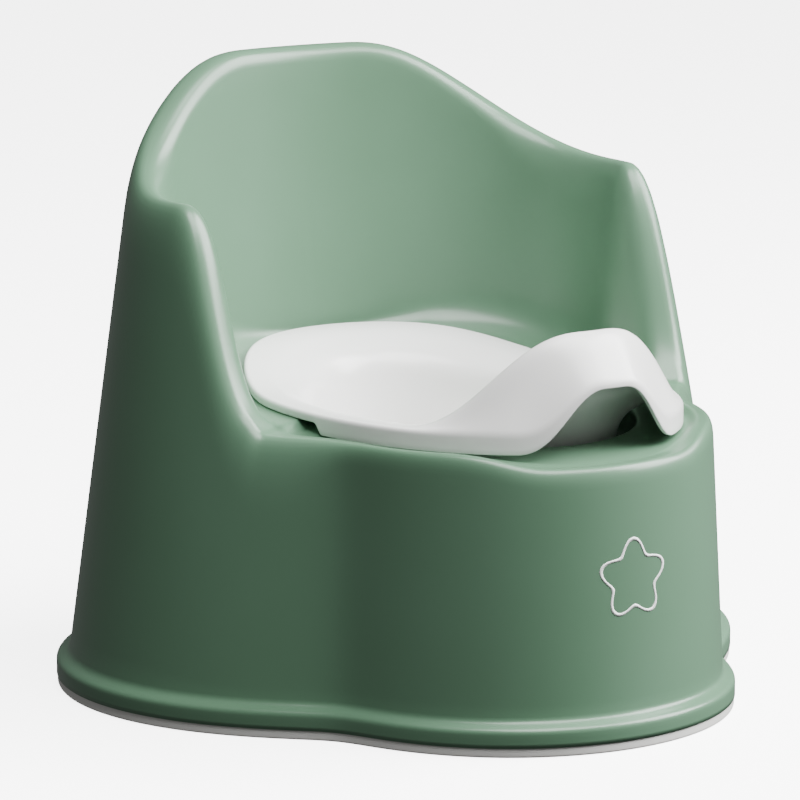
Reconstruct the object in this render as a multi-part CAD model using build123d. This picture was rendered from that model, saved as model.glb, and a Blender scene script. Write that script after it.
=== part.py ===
# Potty training chair: a moulded seat shell on a non-slip base strip, and a lift-out inner potty.
# Millimetres. +Z up, the child faces -Y, the origin is under the middle of the base.
from build123d import *
import math
import os

os.makedirs("parts", exist_ok=True)

# --- overall sizes -------------------------------------------------------
total_height = 320.0
arm_height = 259.0
rear_half_width = 182.5      # half width of the wide rear lobe at the floor, without the flange
rear_depth = 146.0           # rear lobe centre to its back
front_half_width = 110.5     # half width of the narrower front lobe
front_depth = 110.0          # front lobe centre to its front
lobe_spacing = 101.0         # distance between the two lobe centres, front to back
lobe_blend = 14.5            # how softly the two lobes run into each other at the waist
wall = 3.0

# --- foot of the shell ---------------------------------------------------
strip_height = 5.0
flange_width = 7.0
flange_top = 14.0
ledge_height = 16.5

# --- wall slopes, in mm inward per mm up ---------------------------------
back_taper = 0.121
side_taper = 0.136
front_taper = 0.056

# --- arms and backrest, plan angles measured from the front --------------
arm_foot_angle = 61.0
arm_top_angle = 88.0
back_rise_angle = 89.0
back_top_angle = 164.0
arm_thickness = 22.0
front_edge_width = 9.0
back_thickness = 17.0
inner_wall_slope = 0.05

# --- seat and opening ----------------------------------------------------
seat_height = 152.0          # deck level under the front of the rim
seat_back_rise = 14.0        # the seat climbs this much toward the backrest
seat_rise_start = -30.0      # measured from the plan pole, toward the back
seat_rise_end = 85.0
recess_depth = 7.0           # the front of the deck is lower, to take the potty's apron
pocket_lip = 3.5             # the shell's edge stands this much above the recess
recess_start = -70.0         # measured from the bowl centre, toward the back
recess_end = 20.0
opening_half_width = 84.0
opening_half_depth = 108.0
opening_set_back = 5.0       # the opening's centre lies behind the bowl's
collar_bottom = 128.0

# --- inner potty ---------------------------------------------------------
rest_gap = 0.3               # under the rim, above the deck
rim_half_width = 102.0
rim_half_depth = 135.0
rim_thickness = 4.7
rim_ridge_scale = 0.93
rim_inner_scale = 0.75
apron_drop = 5.8             # the apron hangs this far below the rest of the rim
apron_end_angle = 72.0
potty_wall = 2.5
bowl_floor = 34.0
bowl_floor_scale = 0.54
guard_half_width = 50.0      # half the free arch at the front of the splash guard
guard_lip_rise = 24.0        # the arch's top edge above the rim
guard_crest_rise = 49.0      # the guard's crest above the rim
guard_crest_scale = 0.87
guard_flank_angle = 60.0     # the crest has come down to the rim here
bowl_centre_behind_rear_lobe = -59.0
angle_steps = 36             # a whole number of sectors
sectors = 9
outline_points = 64

def smooth(x, start, end):
    t = min(max((x - start) / (end - start), 0.0), 1.0)
    return t * t * t * (t * (6 * t - 15) + 10)


def soft_max(a, b, k):
    return 0.5 * (a + b + math.sqrt((a - b) ** 2 + k * k))


def lobe_radius(angle, centre, half_width, depth):
    dx = math.sin(angle)
    dy = -math.cos(angle)
    a = (dx / half_width) ** 2 + (dy / depth) ** 2
    b = -2 * dy * centre / depth ** 2
    c = (centre / depth) ** 2 - 1
    rest = b * b - 4 * a * c
    if rest <= 0:
        return 0.0
    return (-b + math.sqrt(rest)) / (2 * a)


# plan angles run about a pole 4 mm in front of the rear lobe's centre
rear_centre = 4.0


def plan_radius(angle):
    rear = lobe_radius(angle, rear_centre, rear_half_width, rear_depth)
    front = lobe_radius(angle, rear_centre - lobe_spacing, front_half_width, front_depth)
    return soft_max(rear, front, lobe_blend)


pole_y = (plan_radius(0.0) - plan_radius(math.pi)) / 2
bowl_y = pole_y + rear_centre + bowl_centre_behind_rear_lobe


def taper(angle):
    deg = math.degrees(angle)
    value = front_taper + (side_taper - front_taper) * smooth(deg, 30, 80)
    return value + (back_taper - side_taper) * smooth(deg, 100, 170)


def crest_height(angle, deck):
    deg = math.degrees(angle)
    rise = (arm_height - deck) * smooth(deg, arm_foot_angle, arm_top_angle)
    return deck + rise + (total_height - arm_height) * smooth(deg, back_rise_angle, back_top_angle)


def crest_width(angle):
    deg = math.degrees(angle)
    width = front_edge_width + (arm_thickness - front_edge_width) * smooth(deg, 30, 66)
    return width + (back_thickness - arm_thickness) * smooth(deg, 95, 150)


def seat_rise(y):
    return seat_back_rise * smooth(y - pole_y, seat_rise_start, seat_rise_end)


# A section is a list of corners (distance, height) with a rounding radius each.
def rounded(corners, radii, run_steps, arc_steps):
    points = []
    last = len(corners) - 1
    ends = []
    for i in range(last + 1):
        if i in (0, last):
            ends.append((corners[i], corners[i]))
            continue
        here = corners[i]
        legs = []
        for other in (corners[i - 1], corners[i + 1]):
            length = math.hypot(other[0] - here[0], other[1] - here[1])
            reach = min(radii[i], 0.45 * length)
            share = reach / max(length, 1e-9)
            legs.append((here[0] + (other[0] - here[0]) * share, here[1] + (other[1] - here[1]) * share))
        ends.append((legs[0], legs[1]))
    for i in range(last):
        start = ends[i][1]
        stop = ends[i + 1][0]
        for k in range(run_steps[i]):
            t = k / run_steps[i]
            points.append((start[0] + (stop[0] - start[0]) * t, start[1] + (stop[1] - start[1]) * t))
        arc = arc_steps[i + 1]
        for k in range(arc):
            t = k / arc
            first = (1 - t) ** 2
            mid = 2 * t * (1 - t)
            end = t * t
            a = ends[i + 1][0]
            b = corners[i + 1]
            c = ends[i + 1][1]
            points.append((first * a[0] + mid * b[0] + end * c[0], first * a[1] + mid * b[1] + end * c[1]))
    points.append(corners[last])
    return points


def shell_section(angle, inset):
    base = plan_radius(angle)
    edge_y = pole_y - (base - taper(angle) * seat_height) * math.cos(angle)
    front_deck = deck_at(edge_y) + pocket_lip * smooth(math.degrees(angle), 12, 28)
    crest = crest_height(angle, front_deck)
    width = crest_width(angle)
    outer = base - taper(angle) * (crest - ledge_height)
    inner = outer - width
    height = crest - front_deck
    hole = lobe_radius(angle, bowl_y - pole_y + opening_set_back, opening_half_width, opening_half_depth)
    rim = lobe_radius(angle, bowl_y - pole_y, rim_half_width, rim_half_depth)
    foot = inner - inner_wall_slope * height - 5
    foot = max(foot, rim + 4.0 - 3.0 * (1 - smooth(height, 0, 20)))
    foot_deck = deck_at(pole_y - foot * math.cos(angle))
    hole_deck = deck_at(pole_y - hole * math.cos(angle))
    corners = [
        (base + flange_width - inset, strip_height),
        (base + flange_width - inset, flange_top - inset),
        (base - inset, ledge_height - inset),
        (outer - inset, crest - inset),
        (inner + inset, crest - inset),
        (foot + inset, foot_deck - inset),
        (hole + inset, hole_deck - inset),
        (hole + inset, collar_bottom),
    ]
    cove = min(foot - rim - 0.5, 18.0)
    roll = 10 - 0.7 * inset
    radii = [0, 2.5 - 0.5 * inset, 2.5, roll, 0.9 * roll, max(cove, 0.3) + inset, 3 - 0.5 * inset, 0]
    return rounded(corners, radii, (1, 1, 1, 1, 1, 1, 1), (0, 0, 0, 2, 2, 2, 0, 0))


def deck_at(y):
    step = 1 - smooth(y - bowl_y, recess_start, recess_end)
    return seat_height + seat_rise(y) - recess_depth * step


def potty_section(angle):
    deg = math.degrees(angle)
    oval = lobe_radius(angle, 0.0, rim_half_width, rim_half_depth)
    arch = 1 - smooth(oval * math.sin(angle), 4.0, guard_half_width) if deg < 90 else 0.0
    flank = 1 - smooth(deg, 2, guard_flank_angle)
    apron = apron_drop * (1 - smooth(deg, apron_end_angle - 35, apron_end_angle))
    w = potty_wall

    def rim_level(radius):
        y = bowl_y - radius * math.cos(angle)
        return seat_height + rest_gap + rim_thickness + seat_rise(y)

    ridge_r = oval * (rim_ridge_scale + (guard_crest_scale - rim_ridge_scale) * flank)
    inner_r = oval * rim_inner_scale
    brow_r = ridge_r - 9
    floor_r = oval * bowl_floor_scale
    lip = rim_level(oval) + guard_lip_rise * arch
    crest = rim_level(ridge_r) + guard_crest_rise * flank
    brow = rim_level(brow_r) + (guard_crest_rise - 5) * flank - 1
    under = lip - rim_thickness - apron * (1 - arch) + 1.5 * arch
    low = rim_level(inner_r) - 9
    corners = [
        (floor_r * 0.5, bowl_floor),
        (floor_r, bowl_floor),
        (inner_r - 7, low),
        (brow_r, brow),
        (ridge_r, crest),
        (oval, lip),
        (oval, under),
        (oval - w, under),
        (oval - w - 0.3, lip - w),
        (ridge_r, crest - w),
        (brow_r + 0.8 * w, brow - w),
        (inner_r - 7 + w, low - w),
        (floor_r + w, bowl_floor - w),
        (floor_r * 0.5, bowl_floor - w),
    ]
    radii = [0, 24, 10, 5, 5 + 8 * flank, 2.5, 0.6, 0.6, 1.5, 4 + 6 * flank, 5, 8, 24, 0]
    runs = (1,) * 13
    arcs = (0, 3, 1, 1, 2, 1, 0, 0, 0, 2, 1, 1, 3, 0)
    return rounded(corners, radii, runs, arcs)


def skin(section, centre_y):
    # each half is cut into equal sectors; inside one, a smooth curve runs through every point of the section,
    # with a ruled strip between neighbouring curves
    rings = []
    for i in range(angle_steps + 1):
        angle = math.pi * i / angle_steps
        ring_points = []
        for radius, height in section(angle):
            ring_points.append(Vector(radius * math.sin(angle), centre_y - radius * math.cos(angle), height))
        rings.append(ring_points)
    span = angle_steps // sectors
    even = [i / span for i in range(span + 1)]
    faces = []
    first_loop = []
    last_loop = []
    for start in range(0, angle_steps, span):
        curves = []
        for k in range(len(rings[0])):
            points = [rings[start + i][k] for i in range(span + 1)]
            ends = [heading(rings, start, k), heading(rings, start + span, k)]
            curves.append(Edge.make_spline(points, tangents=ends, parameters=even))
        for low, high in zip(curves, curves[1:]):
            half = Face.make_surface_from_curves(low, high)
            faces += [half, half.mirror(Plane.YZ)]
        first_loop += [curves[0], curves[0].mirror(Plane.YZ)]
        last_loop += [curves[-1], curves[-1].mirror(Plane.YZ)]
    return faces, Wire(first_loop), Wire(last_loop)


def heading(rings, i, k):
    # the curve's direction at one plan angle; square to the plane of symmetry at front and back
    if i == 0:
        return Vector(1, 0, 0)
    if i == angle_steps:
        return Vector(-1, 0, 0)
    return (rings[i + 1][k] - rings[i - 1][k]).normalized()


def solid_from(faces):
    body = Solid(Shell(faces))
    if body.volume < 0:
        body = -body
    return body


def outline(inset, height):
    points = []
    for i in range(outline_points):
        angle = -math.pi + 2 * math.pi * i / outline_points
        radius = plan_radius(abs(angle)) + flange_width - inset
        points.append(Vector(radius * math.sin(angle), pole_y - radius * math.cos(angle), height))
    return Wire([Edge.make_spline(points, periodic=True)])


def ring(outer_inset, inner_inset, bottom, top):
    face = Face(outline(outer_inset, bottom), [outline(inner_inset, bottom)])
    return Solid.extrude(face, Vector(0, 0, top - bottom))


# --- seat shell ----------------------------------------------------------
outside, outer_foot, outer_collar = skin(lambda angle: shell_section(angle, 0.0), pole_y)
inside, inner_foot, inner_collar = skin(lambda angle: shell_section(angle, wall), pole_y)
foot_ring = Face(outer_foot, [inner_foot])
collar_ring = Face(inner_collar, [outer_collar])
chair_shell = solid_from(outside + inside + [foot_ring, collar_ring])

# --- inner potty ---------------------------------------------------------
potty_skin, floor_edge, underside_edge = skin(potty_section, bowl_y)
inner_potty = solid_from(potty_skin + [Face(floor_edge), Face(underside_edge)])

# --- base strip ----------------------------------------------------------
tread = ring(0.0, flange_width + wall, 0.0, strip_height)
tongue = ring(wall + 0.2, flange_width - 0.2, strip_height - 0.5, strip_height + 3.5)
base_strip = tread + tongue

for name, shape in (("chair_shell", chair_shell), ("inner_potty", inner_potty), ("base_strip", base_strip)):
    box = shape.bounding_box()
    print(name, shape.is_valid, round(shape.volume / 1000, 1), "cm3", box.min, box.max)
    export_step(shape, "parts/" + name + ".step")
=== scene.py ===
import math
import bpy
import bmesh
import numpy as np
from mathutils import Matrix


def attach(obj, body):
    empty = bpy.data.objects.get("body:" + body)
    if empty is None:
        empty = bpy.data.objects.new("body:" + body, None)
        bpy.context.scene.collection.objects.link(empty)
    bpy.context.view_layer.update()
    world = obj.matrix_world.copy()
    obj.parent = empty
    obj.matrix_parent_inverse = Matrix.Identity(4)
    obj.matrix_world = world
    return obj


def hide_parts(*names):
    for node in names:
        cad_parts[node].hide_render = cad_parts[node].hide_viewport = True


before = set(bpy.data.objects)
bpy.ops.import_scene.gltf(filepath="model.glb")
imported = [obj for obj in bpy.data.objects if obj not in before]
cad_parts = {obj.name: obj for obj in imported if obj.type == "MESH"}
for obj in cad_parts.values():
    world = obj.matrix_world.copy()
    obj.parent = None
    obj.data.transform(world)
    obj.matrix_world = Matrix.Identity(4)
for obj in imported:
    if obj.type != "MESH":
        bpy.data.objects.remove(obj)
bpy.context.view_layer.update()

mm = 0.001

# sizes are in millimetres and plan angles in degrees, 0 at the front and 180 at the back
# chair shell: a wide rear lobe and a narrower front lobe, walls leaning in, arms and a tall back
shell = {
    "height": 320.0, "armHeight": 259.0, "wall": 3.0,
    "rearHalfWidth": 182.5, "rearDepth": 146.0, "rearCentre": 4.0,
    "frontHalfWidth": 110.5, "frontDepth": 110.0, "lobeSpacing": 101.0, "lobeBlend": 14.5,
    "stripTop": 5.0, "lipTop": 14.0, "ledgeHeight": 16.5, "flange": 7.0,
    "frontTaper": 0.056, "sideTaper": 0.136, "backTaper": 0.121,
    "armFootAngle": 60.0, "armTopAngle": 87.0, "backRiseAngle": 89.0, "backTopAngle": 164.0,
    "leanTurn": (30, 80), "backLeanTurn": (100, 170),
    "armThickness": 19.0, "backThickness": 17.0, "frontEdgeWidth": 9.0, "innerSlope": 0.05,
    "widenTurn": (30, 66), "thinTurn": (95, 150), "crestRoll": 10.0, "armRoll": 34.0,
    "armRollStart": (42, 58), "armRollEnd": (96, 130), "innerRollShare": 0.9, "edgeRound": 2.5,
    "footSetIn": 5.0, "rimRoom": 4.0, "flatRimRoom": 3.0, "flatHeight": 20.0, "coveRadius": 18.0,
    "around": 540,
}
# seat deck: level at the front, climbing to the back, with a recess for the potty's apron
seat = {
    "height": 152.0, "backRise": 14.0, "riseStart": -30.0, "riseEnd": 85.0,
    "recessDepth": 7.0, "recessAngle": 84.0, "recessRun": 2.0, "pocketLip": 3.5,
    "pocketLipTurn": (12, 28), "dishDepth": 4.0, "dishAlong": (150, 200), "dishAcross": (35, 80),
    "holeRound": 3.0, "openingHalfWidth": 84.0, "openingHalfDepth": 108.0, "openingSetBack": 5.0,
    "collarBottom": 128.0, "bowlCentre": -55.0,
}
# inner potty: an oval bowl whose front edge lifts into a splash guard with a finger arch under it
potty = {
    "restGap": 0.3, "halfWidth": 102.0, "halfDepth": 135.0, "rimThickness": 4.7,
    "ridgeScale": 0.93, "innerScale": 0.75, "apronDrop": 5.8, "apronAngle": 81.0, "apronRun": 4.0,
    "wall": 2.5, "floor": 34.0, "floorScale": 0.54,
    "archHalfWidth": 50.0, "lipRise": 24.0, "crestRise": 49.0, "crestScale": 0.87, "flankAngle": 52.0,
    "archFlat": 4.0, "archLift": 1.5, "browIn": 9.0, "browDrop": 5.0, "browDip": 1.0,
    "wallIn": 7.0, "wallDrop": 9.0,
    "around": 480,
}


def smooth(x, start, end):
    # quintic step from 0 to 1
    t = np.clip((x - start) / (end - start), 0.0, 1.0)
    return t * t * t * (t * (6 * t - 15) + 10)


def softMax(a, b, k):
    return 0.5 * (a + b + np.sqrt((a - b) ** 2 + k * k))


def ovalRadius(angle, centre, halfWidth, halfDepth):
    # distance along a plan angle, 0 toward the front, to an ellipse centred at (0, centre)
    dx, dy = np.sin(angle), -np.cos(angle)
    a = (dx / halfWidth) ** 2 + (dy / halfDepth) ** 2
    b = -2 * dy * centre / halfDepth ** 2
    c = (centre / halfDepth) ** 2 - 1
    rest = b * b - 4 * a * c
    return np.where(rest > 0, (-b + np.sqrt(np.maximum(rest, 0))) / (2 * a), 0.0)


def planRadius(angle):
    rear = ovalRadius(angle, shell["rearCentre"], shell["rearHalfWidth"], shell["rearDepth"])
    front = ovalRadius(angle, shell["rearCentre"] - shell["lobeSpacing"],
                       shell["frontHalfWidth"], shell["frontDepth"])
    return softMax(rear, front, shell["lobeBlend"])


# plan angles turn about a pole; the outline's middle is the frame's origin
poleY = float(planRadius(np.array(0.0)) - planRadius(np.array(math.pi))) / 2


def lean(angle):
    deg = np.degrees(angle)
    value = shell["frontTaper"] + (shell["sideTaper"] - shell["frontTaper"]) * smooth(deg, *shell["leanTurn"])
    return value + (shell["backTaper"] - shell["sideTaper"]) * smooth(deg, *shell["backLeanTurn"])


def seatRise(y):
    # y is measured from the pole
    return seat["backRise"] * smooth(y, seat["riseStart"], seat["riseEnd"])


def recessShare(x, y):
    # 1 in the apron's recess and 0 behind it, by the angle about the bowl's centre
    around = np.degrees(np.arctan2(x, seat["bowlCentre"] - y))
    middle, run = seat["recessAngle"], seat["recessRun"]
    return 1 - smooth(around, middle - run, middle + run)


def deckHeight(angle, radius):
    x, y = radius * np.sin(angle), -radius * np.cos(angle)
    recess = recessShare(x, y)
    dish = smooth(-y, *seat["dishAlong"]) * (1 - smooth(x, *seat["dishAcross"]))
    return seat["height"] + seatRise(y) - seat["recessDepth"] * recess - seat["dishDepth"] * dish


def columns(angles, *values):
    # values side by side for every plan angle; a plain number holds all the way round
    return np.stack([np.broadcast_to(value, angles.shape) for value in values], axis=1)


def roundedSections(corners, radii, runs, arcs):
    # each row of corners becomes straight runs joined by quadratic roundings of the given reach
    n, k = radii.shape
    legs = np.linalg.norm(np.diff(corners, axis=1), axis=2)
    start, stop = corners.copy(), corners.copy()
    for i in range(1, k - 1):
        before = np.minimum(radii[:, i], 0.45 * legs[:, i - 1]) / np.maximum(legs[:, i - 1], 1e-6)
        after = np.minimum(radii[:, i], 0.45 * legs[:, i]) / np.maximum(legs[:, i], 1e-6)
        start[:, i] += (corners[:, i - 1] - corners[:, i]) * before[:, None]
        stop[:, i] += (corners[:, i + 1] - corners[:, i]) * after[:, None]
    parts = []
    for i in range(k - 1):
        t = (np.arange(runs[i]) / runs[i])[None, :, None]
        parts.append(stop[:, i][:, None] * (1 - t) + start[:, i + 1][:, None] * t)
        if arcs[i + 1]:
            t = (np.arange(arcs[i + 1]) / arcs[i + 1])[None, :, None]
            a, b, c = start[:, i + 1][:, None], corners[:, i + 1][:, None], stop[:, i + 1][:, None]
            parts.append((1 - t) ** 2 * a + 2 * t * (1 - t) * b + t * t * c)
    parts.append(corners[:, -1][:, None])
    return np.concatenate(parts, axis=1)


def turned(sections, angles, centreY):
    # (distance, height) sections stood up at their plan angles
    r, z = sections[..., 0], sections[..., 1]
    return np.stack([r * np.sin(angles)[:, None], centreY - r * np.cos(angles)[:, None], z], axis=2) * mm


def meshObject(name, vertices, faces):
    mesh = bpy.data.meshes.new(name)
    mesh.vertices.add(len(vertices))
    mesh.vertices.foreach_set("co", np.ascontiguousarray(vertices, dtype=np.float32).ravel())
    mesh.loops.add(faces.size)
    mesh.loops.foreach_set("vertex_index", np.ascontiguousarray(faces, dtype=np.int32).ravel())
    mesh.polygons.add(len(faces))
    mesh.polygons.foreach_set("loop_start", np.arange(0, faces.size, faces.shape[1], dtype=np.int32))
    mesh.update(calc_edges=True)
    mesh.validate()
    obj = bpy.data.objects.new(name, mesh)
    bpy.context.scene.collection.objects.link(obj)
    return obj


def tidyMesh(obj):
    # the grid's poles are many points in one place, so they are merged
    bm = bmesh.new()
    bm.from_mesh(obj.data)
    bmesh.ops.remove_doubles(bm, verts=bm.verts, dist=1e-6)
    bmesh.ops.recalc_face_normals(bm, faces=bm.faces)
    bm.to_mesh(obj.data)
    bm.free()
    obj.data.polygons.foreach_set("use_smooth", np.ones(len(obj.data.polygons), dtype=bool))
    obj.data.update()
    return obj


def loopMesh(name, grid, closeSection=True):
    # a grid that closes round the plan, and round its own section when asked
    n, m, _ = grid.shape
    index = np.arange(n * m).reshape(n, m)
    ahead = np.roll(index, -1, axis=0)
    if closeSection:
        a, b, c, d = index, np.roll(index, -1, axis=1), np.roll(ahead, -1, axis=1), ahead
    else:
        a, b, c, d = index[:, :-1], index[:, 1:], ahead[:, 1:], ahead[:, :-1]
    faces = np.stack([a, b, c, d], axis=2).reshape(-1, 4)
    return tidyMesh(meshObject(name, grid.reshape(-1, 3), faces))


def toLinear(hexColour):
    values = [int(hexColour[i:i + 2], 16) / 255 for i in (1, 3, 5)]
    return [v / 12.92 if v <= 0.04045 else ((v + 0.055) / 1.055) ** 2.4 for v in values] + [1.0]


def addNode(tree, kind, settings=None, links=None):
    node = tree.nodes.new(kind)
    for key, value in (settings or {}).items():
        if key in node.inputs:
            node.inputs[key].default_value = value
        else:
            setattr(node, key, value)
    for key, source in (links or {}).items():
        tree.links.new(source, node.inputs[key])
    return node


def mouldedPlastic(name, dark, light, roughness, grainMm, bump, ior=1.49):
    # dark and light are the two ends of a faint cloudiness in the pigment
    material = bpy.data.materials.new(name)
    material.use_nodes = True
    tree = material.node_tree
    tree.nodes.clear()
    place = addNode(tree, "ShaderNodeTexCoord").outputs["Object"]
    cloud = addNode(tree, "ShaderNodeTexNoise", {"Scale": 9.0, "Detail": 3.0}, {"Vector": place})
    tint = addNode(tree, "ShaderNodeValToRGB", {}, {"Fac": cloud.outputs["Fac"]})
    tint.color_ramp.elements[0].position = 0.3
    tint.color_ramp.elements[0].color = toLinear(dark)
    tint.color_ramp.elements[1].position = 0.7
    tint.color_ramp.elements[1].color = toLinear(light)
    grain = addNode(tree, "ShaderNodeTexNoise", {"Scale": 1000.0 / grainMm, "Detail": 2.0}, {"Vector": place})
    relief = addNode(tree, "ShaderNodeBump", {"Strength": bump, "Distance": 0.0002},
                     {"Height": grain.outputs["Fac"]})
    wear = addNode(tree, "ShaderNodeMapRange", {"To Min": roughness - 0.04, "To Max": roughness + 0.04},
                   {"Value": cloud.outputs["Fac"]})
    surface = addNode(tree, "ShaderNodeBsdfPrincipled", {"IOR": ior},
                      {"Base Color": tint.outputs["Color"], "Roughness": wear.outputs["Result"],
                       "Normal": relief.outputs["Normal"]})
    addNode(tree, "ShaderNodeOutputMaterial", {}, {"Surface": surface.outputs["BSDF"]})
    return material


# satin injection-moulded polypropylene: fine spark-eroded grain, soft broad highlights
sagePolypropylene = mouldedPlastic("sagePolypropylene", "#56785F", "#5A7C64", 0.3, 0.9, 0.05)
# polished-tool polypropylene: smoother and glossier, so the bowl wipes clean
whitePolypropylene = mouldedPlastic("whitePolypropylene", "#EDEDEB", "#F1F1EF", 0.24, 2.5, 0.03)
# thermoplastic elastomer: slightly tacky and matte
whiteElastomer = mouldedPlastic("whiteElastomer", "#DADAD6", "#E0E0DC", 0.6, 0.6, 0.12)
# pad-printed ink: thin, opaque, a little less glossy than the plastic round it
whitePrintInk = mouldedPlastic("whitePrintInk", "#ECEEEC", "#F2F3F2", 0.45, 0.5, 0.02)


def finishPiece(obj, body, slotName, material, *nodes):
    obj.data.materials.clear()
    obj.data.materials.append(material)
    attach(obj, body)
    if nodes:
        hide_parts(*nodes)
    return obj


def shellSkin(angles, inset):
    # eight corners per plan angle: lip foot, lip top, ledge, outer crest, inner crest, cove, hole, collar
    base, slope = planRadius(angles), lean(angles)
    deg = np.degrees(angles)
    edge = base - slope * seat["height"]
    recess = recessShare(edge * np.sin(angles), -edge * np.cos(angles))
    deck = deckHeight(angles, edge) + seat["pocketLip"] * recess * smooth(deg, *seat["pocketLipTurn"])
    crest = deck + (shell["armHeight"] - deck) * smooth(deg, shell["armFootAngle"], shell["armTopAngle"])
    backRise = shell["height"] - shell["armHeight"]
    crest = crest + backRise * smooth(deg, shell["backRiseAngle"], shell["backTopAngle"])
    widen = shell["armThickness"] - shell["frontEdgeWidth"]
    width = shell["frontEdgeWidth"] + widen * smooth(deg, *shell["widenTurn"])
    width = width + (shell["backThickness"] - shell["armThickness"]) * smooth(deg, *shell["thinTurn"])
    outer = base - slope * (crest - shell["ledgeHeight"])
    inner = outer - width
    height = crest - deck
    hole = ovalRadius(angles, seat["bowlCentre"] + seat["openingSetBack"],
                      seat["openingHalfWidth"], seat["openingHalfDepth"])
    rim = ovalRadius(angles, seat["bowlCentre"], potty["halfWidth"], potty["halfDepth"])
    foot = inner - shell["innerSlope"] * height - shell["footSetIn"]
    flat = 1 - smooth(height, 0, shell["flatHeight"])
    foot = np.maximum(foot, rim + shell["rimRoom"] - shell["flatRimRoom"] * flat)
    flange, ledge = base + shell["flange"] - inset, shell["ledgeHeight"] - inset
    corners = np.stack([
        columns(angles, flange, shell["stripTop"]),
        columns(angles, flange, shell["lipTop"] - inset),
        columns(angles, base - inset, ledge),
        columns(angles, outer - inset, crest - inset),
        columns(angles, inner + inset, crest - inset),
        columns(angles, foot + inset, deckHeight(angles, foot) - inset),
        columns(angles, hole + inset, deckHeight(angles, hole) - inset),
        columns(angles, hole + inset, seat["collarBottom"]),
    ], axis=1)
    # the arms have a much softer crest than the back
    softArm = smooth(deg, *shell["armRollStart"]) * (1 - smooth(deg, *shell["armRollEnd"]))
    roll = shell["crestRoll"] + (shell["armRoll"] - shell["crestRoll"]) * softArm - 0.7 * inset
    cove = np.maximum(np.minimum(foot - rim - 0.5, shell["coveRadius"]), 0.3) + inset
    edgeRound = shell["edgeRound"]
    radii = columns(angles, 0, edgeRound - 0.5 * inset, edgeRound, roll, shell["innerRollShare"] * roll,
                    cove, seat["holeRound"] - 0.5 * inset, 0)
    return roundedSections(corners, radii, (3, 2, 20, 3, 14, 6, 3), (0, 5, 4, 8, 8, 7, 4, 0))


turn = np.arange(shell["around"]) * 2 * math.pi / shell["around"]
halfTurn = np.minimum(turn, 2 * math.pi - turn)
outside = shellSkin(halfTurn, 0.0)
inside = shellSkin(halfTurn, shell["wall"])
shellGrid = turned(np.concatenate([outside, inside[:, ::-1]], axis=1), turn, poleY)
seatShell = loopMesh("seatShell", shellGrid)
finishPiece(seatShell, "chair", "shell_plastic", sagePolypropylene, "chair_shell")
print("seat shell", len(seatShell.data.polygons), "faces")


# a rectangular bead under the flange with eased edges; stand is how far the section reaches inward
strip = {"stand": 10.0, "ease": 1.2, "topEase": 0.4, "set": 0.5, "innerTop": 4.8, "innerStep": 1.0}
lip = planRadius(halfTurn) + shell["flange"]
stripInner, stripOuter = lip - strip["stand"], lip - strip["set"]
stripCorners = np.stack([
    columns(halfTurn, stripInner, strip["innerTop"]),
    columns(halfTurn, stripInner, 0),
    columns(halfTurn, stripOuter, 0),
    columns(halfTurn, stripOuter, shell["stripTop"]),
    columns(halfTurn, stripInner + strip["innerStep"], shell["stripTop"]),
], axis=1)
stripRadii = columns(halfTurn, 0, strip["ease"], strip["ease"], strip["topEase"], 0)
stripGrid = turned(roundedSections(stripCorners, stripRadii, (2, 4, 3, 4), (0, 4, 5, 2, 0)), turn, poleY)
baseStrip = loopMesh("baseStrip", stripGrid)
finishPiece(baseStrip, "chair", "strip_rubber", whiteElastomer, "base_strip")


def pottySections(angles):
    # one closed section per plan angle: floor, bowl wall, brow, ridge or guard crest, edge, and back under
    deg = np.degrees(angles)
    oval = ovalRadius(angles, 0.0, potty["halfWidth"], potty["halfDepth"])
    arch = np.where(deg < 90, 1 - smooth(oval * np.sin(angles), potty["archFlat"], potty["archHalfWidth"]), 0.0)
    flank = 1 - smooth(deg, 2, potty["flankAngle"])
    apronStart = potty["apronAngle"] - potty["apronRun"]
    apron = potty["apronDrop"] * (1 - smooth(deg, apronStart, potty["apronAngle"]))
    w = potty["wall"]

    def rimLevel(radius):
        y = seat["bowlCentre"] - radius * np.cos(angles)
        return seat["height"] + potty["restGap"] + potty["rimThickness"] + seatRise(y)

    ridge = oval * (potty["ridgeScale"] + (potty["crestScale"] - potty["ridgeScale"]) * flank)
    inner = oval * potty["innerScale"]
    brow = ridge - potty["browIn"]
    floor = oval * potty["floorScale"]
    lip = rimLevel(oval) + potty["lipRise"] * arch
    crest = rimLevel(ridge) + potty["crestRise"] * flank
    browHeight = rimLevel(brow) + (potty["crestRise"] - potty["browDrop"]) * flank - potty["browDip"]
    under = lip - potty["rimThickness"] - apron * (1 - arch) + potty["archLift"] * arch
    low = rimLevel(inner) - potty["wallDrop"]
    bottom = potty["floor"]
    wallTop = inner - potty["wallIn"]
    pairs = [(0, bottom), (floor, bottom), (wallTop, low), (brow, browHeight), (ridge, crest),
             (oval, lip), (oval, under), (oval - w, under), (oval - w - 0.3, lip - w), (ridge, crest - w),
             (brow + 0.8 * w, browHeight - w), (wallTop + w, low - w), (floor + w, bottom - w), (0, bottom - w)]
    corners = np.stack([columns(angles, *pair) for pair in pairs], axis=1)
    radii = columns(angles, 0, 24, 10, 5, 5 + 8 * flank, 2.5, 0.6, 0.6, 1.5, 4 + 6 * flank, 5, 8, 24, 0)
    runs = (6, 12, 6, 4, 6, 3, 2, 3, 6, 4, 6, 12, 6)
    arcs = (0, 8, 6, 6, 8, 5, 2, 2, 3, 6, 6, 6, 8, 0)
    return roundedSections(corners, radii, runs, arcs)


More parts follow.
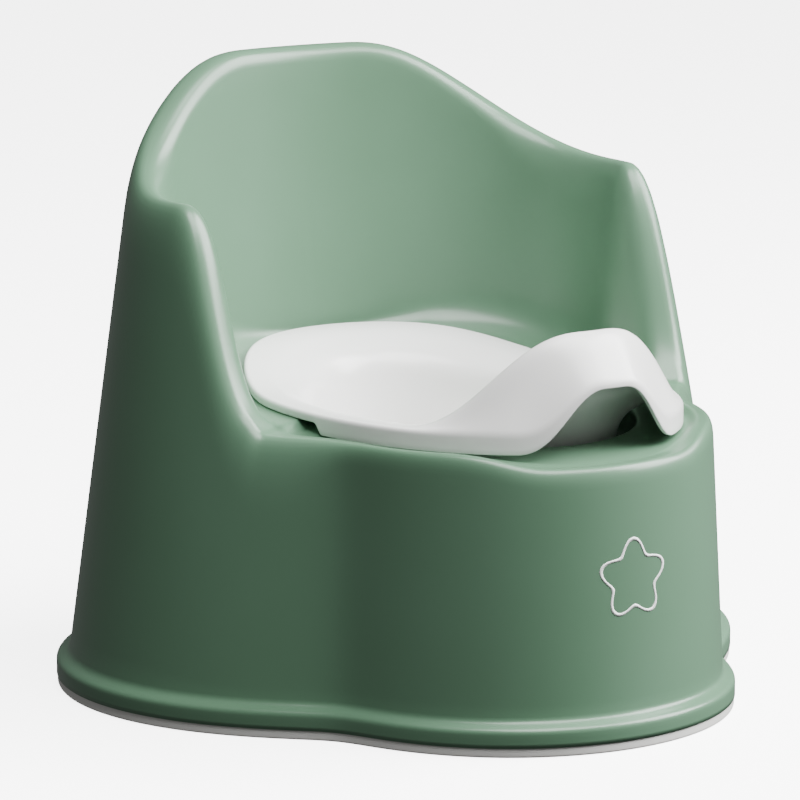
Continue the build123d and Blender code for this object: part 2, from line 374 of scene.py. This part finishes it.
pottyTurn = np.arange(potty["around"]) * 2 * math.pi / potty["around"]
pottyHalf = np.minimum(pottyTurn, 2 * math.pi - pottyTurn)
bowlY = poleY + seat["bowlCentre"]
pottyGrid = turned(pottySections(pottyHalf), pottyTurn, bowlY)
innerPotty = loopMesh("innerPotty", pottyGrid, closeSection=False)
finishPiece(innerPotty, "inner_potty", "potty_plastic", whitePolypropylene, "inner_potty")
print("inner potty", len(innerPotty.data.polygons), "faces")


# an outlined five-point star with softened points, laid on the front wall
star = {"radius": 20.0, "depth": 0.162, "line": 1.7, "x": 2.0, "z": 84.0, "thick": 0.12, "steps": 400}


def frontWallY(x, z):
    # each pass takes the wall's plan distance at the last guess; eight settle it
    y = 0 * x + poleY - 200.0
    for _ in range(8):
        angle = np.arctan2(np.abs(x), poleY - y)
        reach = planRadius(angle) - lean(angle) * (z - shell["ledgeHeight"])
        y = poleY - reach * np.cos(angle)
    return y


t = np.arange(star["steps"]) * 2 * math.pi / star["steps"]
reach = star["radius"] * (1 - star["depth"] * (1 - np.cos(5 * t)))
across = np.array([star["line"] / 2, -star["line"] / 2])
starX = star["x"] + (reach[:, None] + across) * np.sin(t)[:, None]
starZ = star["z"] + (reach[:, None] + across) * np.cos(t)[:, None]
wallY = frontWallY(starX, starZ)
back = np.stack([starX, wallY + 0.1, starZ], 2)
front = np.stack([starX, wallY - star["thick"], starZ], 2)
starGrid = np.stack([back[:, 0], front[:, 0], front[:, 1], back[:, 1]], axis=1) * mm
printedStar = loopMesh("printedStar", starGrid)
finishPiece(printedStar, "chair", "potty_plastic", whitePrintInk)


def stageFloor():
    # a lit sweep, white to the camera, that throws no light up at the chair
    size = 6.0
    corners = np.array([[-size, -size, 0], [size, -size, 0], [size, size, 0], [-size, size, 0]])
    floor = meshObject("studioFloor", corners, np.array([[0, 1, 2, 3]]))
    material = bpy.data.materials.new("matteWhitePaper")
    material.use_nodes = True
    surface = material.node_tree.nodes["Principled BSDF"]
    surface.inputs["Base Color"].default_value = toLinear("#FAFAFA")
    surface.inputs["Roughness"].default_value = 0.9
    surface.inputs["Emission Color"].default_value = toLinear("#FFFFFF")
    surface.inputs["Emission Strength"].default_value = 5.0
    floor.data.materials.append(material)
    floor.visible_diffuse = False
    floor.visible_glossy = False


def softbox(name, azimuth, elevation, distance, width, power):
    # azimuth as for the camera: 0 is in front, positive toward +X
    a, e = math.radians(azimuth), math.radians(elevation)
    place = np.array([math.sin(a) * math.cos(e), -math.cos(a) * math.cos(e), math.sin(e)]) * distance
    light = bpy.data.lights.new(name, "AREA")
    light.shape = "SQUARE"
    light.size = width
    light.energy = power
    obj = bpy.data.objects.new(name, light)
    obj.matrix_world = lookingFrom(place + np.array([0, 0, 0.16]), azimuth, elevation)
    bpy.context.scene.collection.objects.link(obj)


def lookingFrom(place, azimuth, elevation):
    a, e = math.radians(azimuth), math.radians(elevation)
    backward = np.array([math.sin(a) * math.cos(e), -math.cos(a) * math.cos(e), math.sin(e)])
    right = np.array([math.cos(a), math.sin(a), 0.0])
    up = np.cross(backward, right)
    m = Matrix.Identity(4)
    for i in range(3):
        m[i][0], m[i][1], m[i][2], m[i][3] = right[i], up[i], backward[i], place[i]
    return m


stageFloor()
softbox("keyRight", 64, 36, 2.2, 1.5, 170)
softbox("topFront", 8, 66, 2.0, 1.4, 85)

world = bpy.data.worlds.new("studio")
world.use_nodes = True
world.node_tree.nodes["Background"].inputs["Color"].default_value = (1.0, 1.0, 1.0, 1.0)
world.node_tree.nodes["Background"].inputs["Strength"].default_value = 0.16
bpy.context.scene.world = world

view = {"azimuth": -33.8, "elevation": 10.57, "distance": 2.459, "focal": 209.7,
        "shiftX": -0.002, "shiftY": -0.0188}
camera = bpy.data.cameras.new("camera")
camera.lens = view["focal"]
camera.sensor_width = 36
camera.shift_x = view["shiftX"]
camera.shift_y = view["shiftY"]
camera.clip_end = 50
cameraObject = bpy.data.objects.new("camera", camera)
a, e = math.radians(view["azimuth"]), math.radians(view["elevation"])
toward = np.array([math.sin(a) * math.cos(e), -math.cos(a) * math.cos(e), math.sin(e)])
target = np.array([0, poleY * mm, 0.15])
cameraObject.matrix_world = lookingFrom(target + toward * view["distance"], view["azimuth"], view["elevation"])
bpy.context.scene.collection.objects.link(cameraObject)
bpy.context.scene.camera = cameraObject
